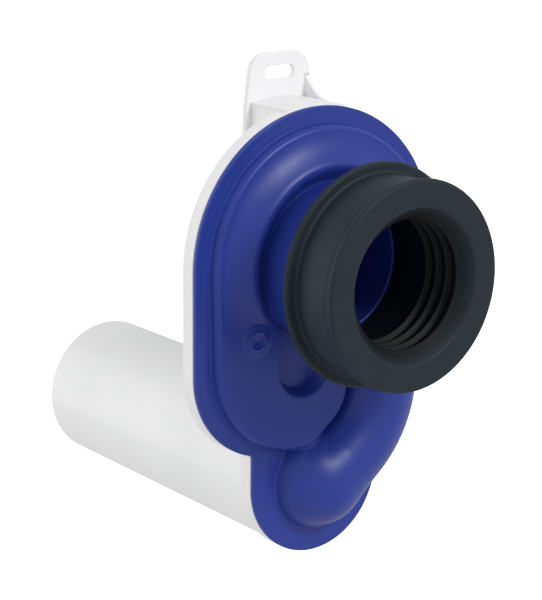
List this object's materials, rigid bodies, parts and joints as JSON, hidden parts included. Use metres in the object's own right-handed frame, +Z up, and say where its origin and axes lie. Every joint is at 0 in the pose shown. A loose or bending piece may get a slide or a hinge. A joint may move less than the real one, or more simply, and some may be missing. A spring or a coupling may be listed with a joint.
{
  "type": "urinal trap",
  "caption": "Concealed siphonic urinal trap: two welded plastic shells with a looped water way, a rubber inlet sleeve, a slotted hanging tab and a level DN50 outlet pipe.",
  "frame": {"origin": "on the outlet pipe's axis, at the shoulder where the pipe leaves the back of the shells", "axes": "+Y along the outlet pipe towards the wall, -Y out of the inlet towards the urinal, +Z up towards the hanging tab, +X to the right seen from the inlet"},
  "size_m": [0.0966, 0.1735, 0.1632],
  "materials": {
    "blue_plastic": "moulded polypropylene, soft sheen",
    "inner_plastic": "moulded polypropylene, hidden",
    "white_plastic": "moulded polypropylene, satin",
    "pipe_plastic": "extruded polypropylene, satin",
    "black_rubber": "moulded EPDM, matt"
  },
  "bodies": {
    "trap": {"front_shell": "blue_plastic", "partition_plate": "inner_plastic", "rear_shell": "white_plastic", "outlet_pipe": "pipe_plastic"},
    "sleeve": {"inlet_sleeve": "black_rubber"}
  },
  "joints": [
    {"name": "sleeve_pull", "type": "slide", "parent": "trap", "child": "sleeve", "axis": [0, -1, 0], "range_m": [0, 0.06]}
  ]
}
